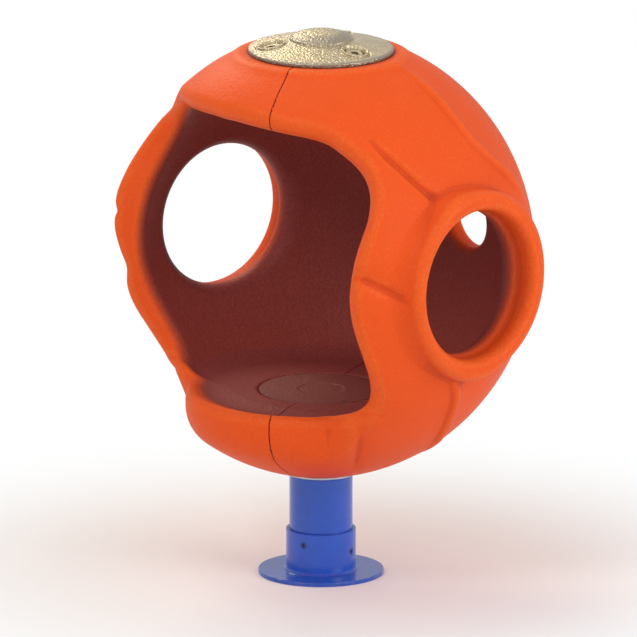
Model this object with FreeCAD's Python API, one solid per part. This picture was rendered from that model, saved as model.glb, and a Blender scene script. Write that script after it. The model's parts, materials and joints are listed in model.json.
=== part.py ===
import FreeCAD, Part
import math
import os

# Spinning ball seat on a fixed post.  All lengths in millimetres.
# Origin on the ground at the post's axis, +Z up, the doorway faces -Y.
# Azimuths are in degrees from -Y towards +X.
V = FreeCAD.Vector

# ---------------------------------------------------------------- driving dimensions
# stand
PLATE_R, PLATE_T = 151.0, 10.0                 # base plate
PLATE_BORE_R = 22.0
ANCHOR_PCD, ANCHOR_HOLE_R = 96.0, 9.0          # four M16 anchors inside the socket
SOCKET_RO, SOCKET_RI, SOCKET_TOP = 84.15, 77.025, 111.0   # 6 inch schedule 40 pipe
POST_RO, POST_RI, POST_TOP = 76.2, 71.2, 236.0            # 6 inch tube
RIM_CHAMFER = 1.5                              # socket and top plate
CROSS_BOLTS = ((20.0, 83.0), (110.0, 61.0))    # azimuth and height of each
CROSS_BOLT_R, CROSS_HEAD_R = 6.0, 8.2
TOP_PLATE_T = 10.0

# spindle and its bearings
SPINDLE_R, SEAT_R, THREAD_R = 30.0, 25.0, 22.5
SPINDLE_Z0, SPINDLE_Z1, SPINDLE_CHAMFER = 188.0, 424.0, 3.0
PIN_R, PIN_Z = 2.0, 415.5
BRG_BORE_R, BRG_OUT_R, BRG_W = 25.0, 45.0, 20.0           # 50 x 90 x 20 ball bearing
BRG_PITCH_R, BALL_R, BALL_N = 35.0, 6.35, 10
BRG_Z = (268.0, 372.0)                         # underside of the lower and upper bearing
BRG_TOP = BRG_Z[1] + BRG_W
FIT = 0.05                                     # radial clearance of fitted parts

# M10 fixings
BOLT_R, BOLT_HOLE_R, NUT_BORE_R, WASHER_BORE_R = 5.0, 5.4, 5.05, 5.3
HEX_AF, NUT_H, WASHER_T = 16.0, 8.0, 2.0

# hub
FLANGE_Z0, FLANGE_T, FLANGE_R = 248.0, 6.0, 86.0
FLANGE_TOP = FLANGE_Z0 + FLANGE_T
HOUSING_R, HOUSING_TOP = 55.0, 400.0
SEAL_R = BRG_OUT_R - 0.02                      # seal and grease cap in the housing's bore

# ball: two moulded halves
ZC, A_OUT, C_OUT = 786.0, 514.0, 538.0         # centre and semi-axes
WALL = 60.0                                    # inside to outside of the double wall
SKIN = 6.0                                     # moulded skin thickness
SHELL_Z0, SHELL_Z1 = FLANGE_TOP, 1287.0        # flats at the bottom and under the cap
WELL_R = 62.0                                  # well for the hub
CLAMP_Z, CLAMP_R, CLAMP_T = 428.0, 130.0, 8.0  # recess floor and plate under the seat cover
SEAT_Z, COVER_R, COVER_T = 455.0, 150.0, 8.0   # seat floor, cover
LIP_Z, LIP_R = 467.0, 332.0                    # seat's front edge
TOP_HOLE_R = 72.0
TOP_FLANGE_T = 36.0
RING_SEAT_R = 150.0                            # flat seat for the ring under the cap
WIN_AZ, WIN_Z, WIN_R = 97.4, 790.0, 177.0      # side windows
REAR_Z, REAR_R = 806.0, 76.0                   # small rear window
SEAM_AZ = 28.0                                 # plane where the two halves meet
SEAM_GAP = 0.4
SEAM_BOLT_Z = (520.0, 790.0, 1060.0)
POCKET_R, POCKET_OFFSET, POCKET_DEPTH = 21.0, 45.0, 17.0  # offset across the seam
POCKET_REACH = 140.0                           # length of the cutter, past the outside

# raised surround of a side window, as a section about the window's axis
SURROUND_DIST = 494.0                          # section's zero height from the post's axis
ROUND_IN, ROUND_OUT = 26.0, 30.0               # radii of the inner and outer rounded edges
CREST_R = WIN_R + ROUND_IN
CREST_W = 5.0                                  # flat between the rounded edges
ROUND_IN_Z, ROUND_OUT_Z = 2.0, -2.0            # heights where the edges start
FLANK_Z, FOOT_Z, FOOT_R = -60.0, -112.0, 214.0

# fixing pitches
HUB_BOLT_R, HUB_BOLT_AZ = 74.0, [SEAM_AZ + 30 + 60 * k for k in range(6)]
COVER_SCREW_R, COVER_SCREW_AZ = 142.0, [SEAM_AZ + 45 + 90 * k for k in range(4)]
CAP_BOLT_R, CAP_BOLT_AZ = 121.0, (-28.0, 92.0, 212.0)

# cap
CAP_R, CAP_Z, CAP_T = 175.0, SHELL_Z1, 5.0
CAP_EDGE_R, CAP_EDGE_H = 171.0, 10.5           # where the cap's slope starts
CAP_SLOPE = math.radians(11.8)
DOME_R, DOME_H = 76.0, 31.5

# right half of the doorway's outline, top to bottom:
# azimuth, height, radius of the wall's middle there
DOOR = [
    (0, 1180, 311), (12, 1179, 312), (33, 1168, 322), (50, 1152, 337), (58.5, 1128, 368),
    (64.5, 1090, 400), (66.5, 1045, 430), (65, 985, 455), (62, 930, 472), (59.6, 870, 482),
    (58.4, 799, 486), (59, 740, 484), (60.6, 690, 478), (63, 636, 462), (65.5, 583, 436),
    (66.8, 535, 405), (64.5, 497, 376), (57.5, 474, 350), (45, 467.5, 338), (25, 466.5, 335),
]

os.makedirs("parts", exist_ok=True)


# ---------------------------------------------------------------- helpers
def save(shape, name):
    shape.exportStep("parts/%s.step" % name)


def group(shapes):
    return Part.makeCompound([solid for shape in shapes for solid in shape.Solids])


def single(shape):
    """The solid itself where a shape holds only one."""
    return shape.Solids[0] if len(shape.Solids) == 1 else shape


def polar(radius, az, z=0.0):
    angle = math.radians(az)
    return V(radius * math.sin(angle), -radius * math.cos(angle), z)


def cyl(radius, z0, z1, az=0.0, pitch=0.0):
    """Upright cylinder, its axis at a pitch radius and azimuth."""
    return Part.makeCylinder(radius, z1 - z0, polar(pitch, az, z0))


def tube(outer, inner, z0, z1, az=0.0, pitch=0.0):
    return cyl(outer, z0, z1, az, pitch).cut(cyl(inner, z0 - 1, z1 + 1, az, pitch))


def drill(shape, radius, z0, z1, pitch, azimuths):
    for az in azimuths:
        shape = shape.cut(cyl(radius, z0, z1, az, pitch))
    return shape


def turned(points):
    """Solid of revolution about Z from (radius, height) points."""
    corners = [V(radius, 0, z) for radius, z in points]
    face = Part.Face(Part.makePolygon(corners + corners[:1]))
    return face.revolve(V(0, 0, 0), V(0, 0, 1), 360)


def rod(radius, base, direction, start, end):
    """Cylinder along a direction, between two distances from the base point."""
    return Part.makeCylinder(radius, end - start, base + direction * start, direction)


def radial(radius, az, z, start, end):
    """Level cylinder pointing outward from the Z axis at an azimuth."""
    return rod(radius, V(0, 0, z), polar(1, az), start, end)


def hexagon(across_flats, z0, z1, az=0.0, pitch=0.0):
    radius = across_flats / math.sqrt(3)
    centre = polar(pitch, az, z0)
    angles = [math.radians(60 * k) for k in range(7)]
    corners = [centre + V(radius * math.cos(a), radius * math.sin(a), 0) for a in angles]
    return Part.Face(Part.makePolygon(corners)).extrude(V(0, 0, z1 - z0))


def hex_nut(z0, az=0.0, pitch=0.0):
    nut = hexagon(HEX_AF, z0, z0 + NUT_H, az, pitch)
    return nut.cut(cyl(NUT_BORE_R, z0 - 5, z0 + NUT_H + 5, az, pitch))


def try_fillet(shape, edges, radii):
    """Round the edges with the first radius that works, or leave them square."""
    for radius in radii:
        # guards against a radius the kernel can't fit to these edges
        try:
            result = shape.makeFillet(radius, edges)
            if result.isValid() and len(result.Solids) == 1 and result.Volume > 0:
                return result.Solids[0]
        except Exception:
            pass
    return shape


# ---------------------------------------------------------------- stand
def base_plate():
    plate = cyl(PLATE_R, 0, PLATE_T).cut(cyl(PLATE_BORE_R, -1, PLATE_T + 1))
    top_rim = [e for e in plate.Edges
               if e.Length > 2 * math.pi * PLATE_R * 0.99 and e.BoundBox.ZMin > PLATE_T - 0.1
               and e.BoundBox.XLength > 2]
    plate = plate.makeFillet(2.0, top_rim).Solids[0]
    anchors = [45 + 90 * k for k in range(4)]
    return drill(plate, ANCHOR_HOLE_R, -1, PLATE_T + 1, ANCHOR_PCD / 2, anchors)


def cross_bolt(az, z):
    """Bolt through the post, its round head sunk in the socket's wall."""
    head = radial(CROSS_HEAD_R, az, z, POST_RO + FIT, SOCKET_RO - 1.0)
    shank = radial(CROSS_BOLT_R, az, z, -POST_RO - 6.0, POST_RO + 0.2)
    key_hole = radial(3.6, az, z, SOCKET_RO - 4.5, SOCKET_RO + 2)
    return head.fuse(shank).cut(key_hole).removeSplitter()


def cross_nut(az, z):
    nut = radial(CROSS_HEAD_R, az + 180, z, POST_RO + FIT, SOCKET_RO - 1.0)
    return nut.cut(radial(CROSS_BOLT_R + FIT, az, z, -POST_RO - 6.1, 0))


socket = turned([
    (SOCKET_RI, PLATE_T), (SOCKET_RO, PLATE_T), (SOCKET_RO, SOCKET_TOP - RIM_CHAMFER),
    (SOCKET_RO - RIM_CHAMFER, SOCKET_TOP), (SOCKET_RI, SOCKET_TOP)])
post = tube(POST_RO, POST_RI, PLATE_T, POST_TOP)
for az, z in CROSS_BOLTS:
    socket = socket.cut(radial(CROSS_HEAD_R + 0.3, az, z, -100, 100))
    post = post.cut(radial(CROSS_BOLT_R + 0.3, az, z, -100, 100))

save(base_plate(), "base_plate")
save(socket, "base_socket")
save(post, "post")
save(group([cross_bolt(az, z) for az, z in CROSS_BOLTS]), "cross_bolts")
save(group([cross_nut(az, z) for az, z in CROSS_BOLTS]), "cross_bolt_nuts")
save(turned([(SOCKET_RO, PLATE_T), (SOCKET_RO + 6, PLATE_T),
             (SOCKET_RO + 3.4, PLATE_T + 2.6), (SOCKET_RO, PLATE_T + 6)]), "socket_weld")

top_plate_z = POST_TOP + TOP_PLATE_T
save(turned([
    (SPINDLE_R + FIT, POST_TOP), (POST_RO, POST_TOP), (POST_RO, top_plate_z - RIM_CHAMFER),
    (POST_RO - RIM_CHAMFER, top_plate_z), (SPINDLE_R + FIT, top_plate_z)]), "post_top_plate")

# ---------------------------------------------------------------- spindle
spindle = turned([
    (0, SPINDLE_Z0), (SPINDLE_R - SPINDLE_CHAMFER, SPINDLE_Z0),
    (SPINDLE_R, SPINDLE_Z0 + SPINDLE_CHAMFER), (SPINDLE_R, BRG_Z[0]), (SEAT_R, BRG_Z[0]),
    (SEAT_R, BRG_TOP - 2), (THREAD_R, BRG_TOP), (THREAD_R, SPINDLE_Z1 - SPINDLE_CHAMFER),
    (THREAD_R - SPINDLE_CHAMFER, SPINDLE_Z1), (0, SPINDLE_Z1)])
save(spindle.cut(radial(PIN_R + 0.1, 0, PIN_Z, -60, 60)), "spindle")
save(turned([(SPINDLE_R, POST_TOP), (SPINDLE_R, POST_TOP - 8),
             (SPINDLE_R + 3.5, POST_TOP - 4.6), (SPINDLE_R + 8, POST_TOP)]), "spindle_weld")
save(tube(SEAT_R + 5.0, SEAT_R + 0.03, BRG_Z[0] + BRG_W, BRG_Z[1]), "bearing_spacer")

nut_z = BRG_TOP + 5
save(tube(36.0, THREAD_R + 0.2, BRG_TOP, nut_z), "spindle_washer")


def spindle_nut():
    """Hexagon nut with its corners turned off and slots across the top for the pin."""
    bore = cyl(THREAD_R + FIT, BRG_TOP, BRG_TOP + 40)
    nut = hexagon(65.0, nut_z, nut_z + 22).cut(bore)
    nut = nut.common(turned([
        (0, nut_z - 1), (34.5, nut_z - 1), (38.5, nut_z + 2),
        (38.5, nut_z + 19), (34.0, nut_z + 23), (0, nut_z + 23)]))
    for k in range(3):
        slot = Part.makeBox(100, 5, 8, V(-50, -2.5, nut_z + 15)).cut(bore)
        slot.rotate(V(0, 0, 0), V(0, 0, 1), 60 * k + 30)
        nut = nut.cut(slot)
    return nut


save(spindle_nut(), "spindle_nut")
pin_eye = Part.makeSphere(2.6, polar(38.9, 0, PIN_Z))
save(radial(PIN_R, 0, PIN_Z, -36, 37.8).fuse(pin_eye).removeSplitter(), "split_pin")


# ---------------------------------------------------------------- bearings
def save_bearing(z0, tag):
    z1, z_mid = z0 + BRG_W, z0 + BRG_W / 2
    groove = Part.makeTorus(BRG_PITCH_R, BALL_R + 0.06, V(0, 0, z_mid))
    cage = tube(36.6, 33.4, z_mid - 7.6, z_mid + 7.6)
    balls = []
    for k in range(BALL_N):
        az = 360.0 * k / BALL_N
        cage = cage.cut(radial(BALL_R + 0.08, az, z_mid, 30, 40))
        balls.append(Part.makeSphere(BALL_R, polar(BRG_PITCH_R, az, z_mid)))
    shields = [tube(39.55, 30.5, z, z + 1.0) for z in (z0 + 0.2, z1 - 1.2)]
    save(tube(30.4, BRG_BORE_R, z0, z1).cut(groove), tag + "_inner_ring")
    save(tube(BRG_OUT_R, 39.6, z0, z1).cut(groove), tag + "_outer_ring")
    save(cage, tag + "_cage")
    save(group(balls), tag + "_balls")
    save(group(shields), tag + "_shields")


save_bearing(BRG_Z[0], "lower_bearing")
save_bearing(BRG_Z[1], "upper_bearing")

# ---------------------------------------------------------------- hub
flange = turned([
    (SPINDLE_R + 1, FLANGE_Z0), (FLANGE_R - 1, FLANGE_Z0), (FLANGE_R, FLANGE_Z0 + 1),
    (FLANGE_R, FLANGE_TOP - 1), (FLANGE_R - 1, FLANGE_TOP), (SPINDLE_R + 1, FLANGE_TOP)])
save(drill(flange, NUT_BORE_R, FLANGE_Z0 - 1, FLANGE_TOP + 1, HUB_BOLT_R, HUB_BOLT_AZ),
     "hub_flange")

SHOULDER_R = 40.5                              # bore between the two bearings
save(turned([
    (BRG_OUT_R, FLANGE_TOP), (HOUSING_R, FLANGE_TOP), (HOUSING_R, HOUSING_TOP - 1),
    (HOUSING_R - 1, HOUSING_TOP), (BRG_OUT_R, HOUSING_TOP), (BRG_OUT_R, BRG_Z[1]),
    (SHOULDER_R, BRG_Z[1]), (SHOULDER_R, BRG_Z[0] + BRG_W),
    (BRG_OUT_R, BRG_Z[0] + BRG_W)]), "hub_housing")
save(turned([(HOUSING_R, FLANGE_TOP), (HOUSING_R + 5, FLANGE_TOP),
             (HOUSING_R, FLANGE_TOP + 5)]), "hub_weld")
save(turned([
    (SPINDLE_R + FIT, FLANGE_TOP + 2), (SEAL_R, FLANGE_TOP + 2), (SEAL_R, FLANGE_TOP + 12),
    (38, FLANGE_TOP + 12), (38, FLANGE_TOP + 5), (33, FLANGE_TOP + 5),
    (33, FLANGE_TOP + 9), (SPINDLE_R + FIT, FLANGE_TOP + 7)]), "hub_seal")
save(turned([
    (43.0, BRG_TOP), (SEAL_R, BRG_TOP), (SEAL_R, HOUSING_TOP), (53.0, HOUSING_TOP),
    (53.0, HOUSING_TOP + 2), (45.5, HOUSING_TOP + 2), (44.0, 424), (38, 432), (24, 435.5),
    (0, 436.5), (0, 434.5), (24, 433.5), (37, 430.2), (42, 423.4),
    (43.0, HOUSING_TOP + 2)]), "grease_cap")

clamp_top = CLAMP_Z + CLAMP_T
head_z = clamp_top + WASHER_T
hub_bolts, hub_washers = [], []
for az in HUB_BOLT_AZ:
    shank = cyl(BOLT_R, FLANGE_Z0 + 0.5, head_z, az, HUB_BOLT_R)
    head = hexagon(HEX_AF, head_z, head_z + 6.4, az, HUB_BOLT_R)
    hub_bolts.append(shank.fuse(head).removeSplitter())
    hub_washers.append(tube(10.0, WASHER_BORE_R, clamp_top, head_z, az, HUB_BOLT_R))
save(group(hub_bolts), "hub_bolts")
save(group(hub_washers), "hub_washers")

clamp_rim = CLAMP_R - 1.5
clamp = turned([(52, CLAMP_Z), (clamp_rim, CLAMP_Z), (clamp_rim, clamp_top - 1),
                (clamp_rim - 1, clamp_top), (52, clamp_top)])
save(drill(clamp, 5.5, CLAMP_Z - 1, clamp_top + 1, HUB_BOLT_R, HUB_BOLT_AZ),
     "seat_clamp_plate")


# ---------------------------------------------------------------- the two moulded halves
# In this section, inset is how far every face is drawn in from the moulding's outside.
def ball(a, c, z0, z1):
    """Ellipsoid of revolution with semi-axes a and c, cut flat at z0 and z1."""
    ellipse = Part.Ellipse(V(0, 0, ZC + c), V(a, 0, ZC), V(0, 0, ZC))
    top, bottom = math.acos((z1 - ZC) / c), math.acos((z0 - ZC) / c)
    section = Part.Wire([
        Part.Arc(ellipse, top, bottom).toShape(),
        Part.makeLine(V(a * math.sin(bottom), 0, z0), V(0, 0, z0)),
        Part.makeLine(V(0, 0, z0), V(0, 0, z1)),
        Part.makeLine(V(0, 0, z1), V(a * math.sin(top), 0, z1))])
    solid = Part.Face(section).revolve(V(0, 0, 0), V(0, 0, 1), 360)
    # turns the surface's own seam line away from the openings
    solid.rotate(V(0, 0, 0), V(0, 0, 1), 140)
    return solid


def front_sector(inner, z0, z1, inset):
    """Everything outside a radius, within a wedge about the doorway's direction."""
    half_angle = math.radians(62 + math.degrees(inset / 400.0))
    reach = 1500.0
    x, y = reach * math.sin(half_angle), reach * math.cos(half_angle)
    far = reach * 1.2
    corners = [V(0, 0, z0), V(-x, -y, z0), V(-x, -far, z0), V(x, -far, z0), V(x, -y, z0),
               V(0, 0, z0)]
    wedge = Part.Face(Part.makePolygon(corners)).extrude(V(0, 0, z1 - z0))
    return tube(900, inner, z0, z1).common(wedge)


def doorway(grow):
    """Cone from the ball's centre through the doorway's outline, moved outward by grow."""
    slopes = []                                # sideways and upward, per unit towards -Y
    for az, z, radius in DOOR:
        # the sideways growth fades out towards the middle
        angle = math.radians(az + math.degrees(grow / radius) * min(1.0, az / 40.0))
        if z > 1100:
            z = z + grow
        elif z < 520:
            z = z - grow
        slopes.append((math.tan(angle), (z - ZC) / (radius * math.cos(angle))))
    low = (0.0, (LIP_Z - 1 - grow - ZC) / 335.0)
    outline = slopes + [low] + [(-x, z) for x, z in reversed(slopes[1:])]
    wires = []
    for y in (45.0, 720.0):
        curve = Part.BSplineCurve()
        curve.interpolate([V(x * y, -y, ZC + z * y) for x, z in outline], PeriodicFlag=True)
        wires.append(Part.Wire([curve.toShape()]))
    return Part.makeLoft(wires, True, True)


def round_doorway(shell):
    """Round the doorway's outer edge, then its inner edge."""
    a, c = A_OUT - WALL / 2, C_OUT - WALL / 2

    def depth(point):
        """Below 1 inside the middle of the wall, above 1 outside it."""
        return math.sqrt((point.x / a) ** 2 + (point.y / a) ** 2 + ((point.z - ZC) / c) ** 2)

    for outer in (True, False):
        edges = []
        for face in shell.Faces:
            if "BSpline" not in face.Surface.TypeId:
                continue
            for edge in face.Edges:
                depths = [depth(point) for point in edge.discretize(5)]
                wanted = min(depths) > 1.02 if outer else max(depths) < 0.98
                if edge.Length > 5 and wanted:
                    edges.append(edge)
        if edges:
            shell = try_fillet(shell, edges, (20, 14, 8))
    return shell


def surround(inset, az):
    """Round-edged ring standing proud around a side window, turned about its axis."""
    inner, outer = ROUND_IN - inset, ROUND_OUT - inset
    crest_end = CREST_R + CREST_W
    diagonal = math.sqrt(0.5)
    p = [V(CREST_R - inner, 0, FOOT_Z), V(CREST_R - inner, 0, ROUND_IN_Z),
         V(CREST_R, 0, ROUND_IN_Z + inner), V(crest_end, 0, ROUND_OUT_Z + outer),
         V(crest_end + outer, 0, ROUND_OUT_Z), V(crest_end + outer, 0, FLANK_Z),
         V(FOOT_R, 0, FOOT_Z)]
    inner_mid = V(CREST_R - inner * diagonal, 0, ROUND_IN_Z + inner * diagonal)
    outer_mid = V(crest_end + outer * diagonal, 0, ROUND_OUT_Z + outer * diagonal)
    section = Part.Wire([
        Part.makeLine(p[0], p[1]), Part.Arc(p[1], inner_mid, p[2]).toShape(),
        Part.makeLine(p[2], p[3]), Part.Arc(p[3], outer_mid, p[4]).toShape(),
        Part.makeLine(p[4], p[5]), Part.makeLine(p[5], p[6]), Part.makeLine(p[6], p[0])])
    ring = Part.Face(section).revolve(V(0, 0, 0), V(0, 0, 1), 360)
    ring.Placement = FreeCAD.Placement(polar(SURROUND_DIST, az, WIN_Z),
                                       FreeCAD.Rotation(V(0, 0, 1), polar(1, az)))
    return ring


def seam_points():
    """Each rear seam bolt's centre, the outward direction and that across the seam."""
    for z in SEAM_BOLT_Z:
        radius = A_OUT * math.sqrt(1 - ((z - ZC) / C_OUT) ** 2) - WALL / 2
        yield polar(radius, SEAM_AZ + 180, z), polar(1, SEAM_AZ + 180), polar(1, SEAM_AZ + 90)


def pockets(inset):
    """D-shaped pockets each side of the rear seam, flat towards the seam."""
    cutters = []
    radius = POCKET_R + inset
    up = V(0, 0, 2 * radius)
    for point, outward, across in seam_points():
        for side in (1, -1):
            floor = point + across * (side * POCKET_OFFSET) - outward * (POCKET_DEPTH + inset)
            cutters.append(Part.makeCylinder(radius, POCKET_REACH, floor, outward))
            width = across * (side * radius)
            low = floor - width - V(0, 0, radius)
            corners = [low, low + width, low + width + up, low + up, low]
            flat_side = Part.Face(Part.makePolygon(corners))
            cutters.append(flat_side.extrude(outward * POCKET_REACH))
    return cutters


def round_windows(shell):
    def on_rim(edge, az, z, radius, near, far):
        """Whether an edge lies on a window's opening, between two distances out."""
        axis = polar(1, az)
        for point in edge.discretize(9):
            out = point.x * axis.x + point.y * axis.y
            off_axis = math.sqrt((point.x - out * axis.x) ** 2
                                 + (point.y - out * axis.y) ** 2 + (point.z - z) ** 2)
            if abs(off_axis - radius) > 0.5 or not near < out < far:
                return False
        return True

    # azimuth, height, radius, nearest and farthest distance out, fillet radii to try
    rims = (
        (180, REAR_Z, REAR_R, 300, 455, (20, 12)),
        (180, REAR_Z, REAR_R, 455, 600, (20, 12)),
        (WIN_AZ, WIN_Z, WIN_R, 300, 455, (18, 12)),
        (-WIN_AZ, WIN_Z, WIN_R, 300, 455, (18, 12)),
    )
    for az, z, radius, near, far, radii in rims:
        edges = [e for e in shell.Edges if on_rim(e, az, z, radius, near, far)]
        if edges:
            shell = try_fillet(shell, edges, radii)
    return shell


def shell_body(inset, rounded):
    """The whole moulding; inset 0 is the outside, inset SKIN the hollow inside it."""
    outer = ball(A_OUT - inset, C_OUT - inset, SHELL_Z0 + inset, SHELL_Z1 - inset)
    depth = WALL - inset
    ceiling = SHELL_Z1 - TOP_FLANGE_T + inset
    cabin = ball(A_OUT - depth, C_OUT - depth, SEAT_Z - inset, ceiling)
    # raised front edge of the seat
    lip = LIP_Z - 2.0 - 2.6 * inset
    cabin = cabin.cut(front_sector(LIP_R - 38 + inset, 400, lip, inset))
    shell = outer.cut(cabin.fuse(doorway(inset)))
    # panel under the doorway, set back behind the ball's outline
    shell = shell.cut(front_sector(LIP_R - inset, 150, 560, inset))
    if rounded:
        shell = round_doorway(shell)
    for az in (WIN_AZ, -WIN_AZ):
        shell = shell.cut(radial(WIN_R + 18, az, WIN_Z, 250, 700))
        shell = shell.fuse(surround(inset, az).cut(cabin))
    shell = shell.cut(radial(REAR_R + inset, 180, REAR_Z, 250, 700))
    # hub well, clamp and cover recesses, hole under the cap, ring seat
    for radius, z0, z1 in ((WELL_R, 200, 600),
                           (CLAMP_R + 2, CLAMP_Z - inset, 600),
                           (COVER_R + 1.5, SEAT_Z - COVER_T - inset, 600),
                           (TOP_HOLE_R, 1200, 1400),
                           (RING_SEAT_R, 1180, ceiling)):
        shell = shell.cut(cyl(radius + inset, z0, z1))
    for pocket in pockets(inset):
        shell = shell.cut(pocket)
    return round_windows(shell) if rounded else shell


def half_space(side, gap):
    """Block on one side of the seam plane, a gap away from it; side 1 is towards +X."""
    block = Part.makeBox(3000, 1500, 3000, V(-1500, 0 if side > 0 else -1500, -500))
    block.translate(V(0, side * gap, 0))
    block.rotate(V(0, 0, 0), V(0, 0, 1), SEAM_AZ - 90)
    return block


whole = shell_body(0.0, True)
hollow = shell_body(SKIN, False)
# solid bosses left in the hollow round every fixing, and the fixing holes
hollow = drill(hollow, 12.0, 200, 460, HUB_BOLT_R, HUB_BOLT_AZ)
whole = drill(whole, BOLT_HOLE_R, 200, 460, HUB_BOLT_R, HUB_BOLT_AZ)
hollow = drill(hollow, 9.0, 415, 460, COVER_SCREW_R, COVER_SCREW_AZ)
whole = drill(whole, 3.05, SEAT_Z - COVER_T - 18, SEAT_Z, COVER_SCREW_R, COVER_SCREW_AZ)
hollow = drill(hollow, 14.0, 1200, 1400, CAP_BOLT_R, CAP_BOLT_AZ)
whole = drill(whole, BOLT_HOLE_R, 1200, 1400, CAP_BOLT_R, CAP_BOLT_AZ)
for point, outward, across in seam_points():
    hollow = hollow.cut(rod(15.0, point, across, -30, 30))
    whole = whole.cut(rod(BOLT_HOLE_R, point, across, -40, 40))

for name, side in (("shell_right", 1), ("shell_left", -1)):
    skin_half = whole.common(half_space(side, SEAM_GAP / 2))
    hollow_half = hollow.common(half_space(side, SEAM_GAP / 2 + SKIN))
    save(single(skin_half.cut(hollow_half)), name)

# bolts, washers and nuts in the rear pockets; the heads are on the +X side
washer_seat = POCKET_OFFSET - POCKET_R
grip = washer_seat + WASHER_T
seam_bolts, seam_nuts, seam_washers = [], [], []
for point, outward, across in seam_points():
    bolt = rod(BOLT_R, point, across, -grip - 10, grip)
    bolt = bolt.fuse(rod(8.7, point, across, grip, grip + 5.6))
    bolt = bolt.cut(rod(3.2, point, across, grip + 2.4, grip + 6.4))
    seam_bolts.append(bolt.removeSplitter())
    for start in (washer_seat, -grip):
        washer = rod(10.5, point, across, start, start + WASHER_T)
        seam_washers.append(
            washer.cut(rod(WASHER_BORE_R, point, across, start - 4, start + 6)))
    nut = hex_nut(0)
    nut.Placement = FreeCAD.Placement(point - across * (grip + NUT_H),
                                      FreeCAD.Rotation(V(0, 0, 1), across))
    seam_nuts.append(nut)
save(group(seam_bolts), "seam_bolts")
save(group(seam_washers), "seam_washers")
save(group(seam_nuts), "seam_nuts")

# ---------------------------------------------------------------- seat cover
cover_z = SEAT_Z - COVER_T
cover = turned([
    (0, cover_z), (COVER_R, cover_z), (COVER_R, SEAT_Z - 2), (COVER_R - 2, SEAT_Z),
    (60, SEAT_Z), (52, SEAT_Z - 1.5), (0, SEAT_Z - 1.5)])
screws = []
for az in COVER_SCREW_AZ:
    cover = cover.cut(cyl(3.3, 440, 460, az, COVER_SCREW_R))
    cover = cover.cut(Part.makeCone(3.3, 6.4, 3.6, polar(COVER_SCREW_R, az, SEAT_Z - 4.1)))
    cover = cover.cut(cyl(6.4, SEAT_Z - 0.5, SEAT_Z + 1, az, COVER_SCREW_R))
    screw = cyl(3.0, cover_z - 15, SEAT_Z - 3.6, az, COVER_SCREW_R)
    screw = screw.fuse(Part.makeCone(3.0, 6.0, 3.2, polar(COVER_SCREW_R, az, SEAT_Z - 3.9)))
    screw = screw.cut(hexagon(3.6, SEAT_Z - 3.2, SEAT_Z + 1, az, COVER_SCREW_R))
    screws.append(screw.removeSplitter())
save(cover, "seat_cover")
save(group(screws), "seat_cover_screws")


# ---------------------------------------------------------------- cap
def slope_z(radius):
    """Height of the cap's sloping top at a radius."""
    return CAP_Z + CAP_EDGE_H + (CAP_EDGE_R - radius) * math.tan(CAP_SLOPE)


def dome(radius, height, z0):
    """Points of the low round dome, from its foot to near its top."""
    angles = [math.radians(9.0 * k) for k in range(10)]
    return [(radius * math.cos(a) ** 0.9, z0 + height * math.sin(a) ** 0.9) for a in angles]


def cap_blank():
    foot = slope_z(DOME_R) + 0.3
    dome_edge, slope_end, inner_edge = DOME_R + 3, DOME_R + 6, CAP_EDGE_R - CAP_T
    points = [(CAP_R - 3, CAP_Z), (CAP_R, CAP_Z + 3), (CAP_R, CAP_Z + 6.5),
              (CAP_R - 1.5, CAP_Z + 9), (CAP_EDGE_R, slope_z(CAP_EDGE_R)),
              (dome_edge, slope_z(dome_edge))]
    points += dome(DOME_R, DOME_H, foot)
    points += [(0, foot + DOME_H), (0, foot + DOME_H - CAP_T)]
    points += reversed(dome(DOME_R - CAP_T, DOME_H - CAP_T, foot))
    points += [(DOME_R - CAP_T, slope_z(dome_edge) - 3.5),
               (slope_end, slope_z(slope_end) - CAP_T),
               (inner_edge, slope_z(inner_edge) - CAP_T), (inner_edge, CAP_Z)]
    return turned(points)


def add_cap_boss(cap, az):
    """Boss square to the slope with a bead and a dish, and an upright bolt hole."""
    top = slope_z(CAP_BOLT_R)
    normal = polar(math.sin(CAP_SLOPE), az, math.cos(CAP_SLOPE))
    tilted = FreeCAD.Placement(polar(CAP_BOLT_R, az, top),
                               FreeCAD.Rotation(V(0, 0, 1), normal))
    boss = Part.makeCylinder(29.0, 16.0, V(0, 0, -17))
    bead = Part.makeTorus(31.0, 3.6, V(0, 0, -0.6))
    dish = Part.makeCone(16.5, 27.4, 7.0, V(0, 0, -6.0))
    for piece in (boss, bead, dish):
        piece.Placement = tilted
    column = cyl(19.0, CAP_Z, top - 6.0, az, CAP_BOLT_R)
    for piece in (boss, column, bead):
        cap = cap.fuse(piece)
    cap = cap.cut(dish)
    cap = cap.cut(cyl(12.5, CAP_Z + 8.0, top + 20, az, CAP_BOLT_R))
    return cap.cut(cyl(BOLT_HOLE_R, CAP_Z - 5, top + 20, az, CAP_BOLT_R))


def cap_bolt(az):
    head_z = CAP_Z + 10.0
    shank = cyl(BOLT_R, CAP_Z - 62.0, head_z, az, CAP_BOLT_R)
    head = Part.makeCone(9.5, 6.0, 5.5, polar(CAP_BOLT_R, az, head_z))
    key_hole = hexagon(6.0, CAP_Z + 12.5, CAP_Z + 20, az, CAP_BOLT_R)
    return shank.fuse(head).cut(key_hole).removeSplitter()


cap = cap_blank()
for az in CAP_BOLT_AZ:
    cap = add_cap_boss(cap, az)
# trims the bosses flush with the underside
cap = cap.cut(Part.makeBox(600, 600, 50, V(-300, -300, CAP_Z - 50)))
save(single(cap), "top_cap")
save(group([cap_bolt(az) for az in CAP_BOLT_AZ]), "cap_bolts")
save(group([tube(11.5, WASHER_BORE_R, CAP_Z + 8.0, CAP_Z + 10.0, az, CAP_BOLT_R)
            for az in CAP_BOLT_AZ]), "cap_washers")

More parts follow.
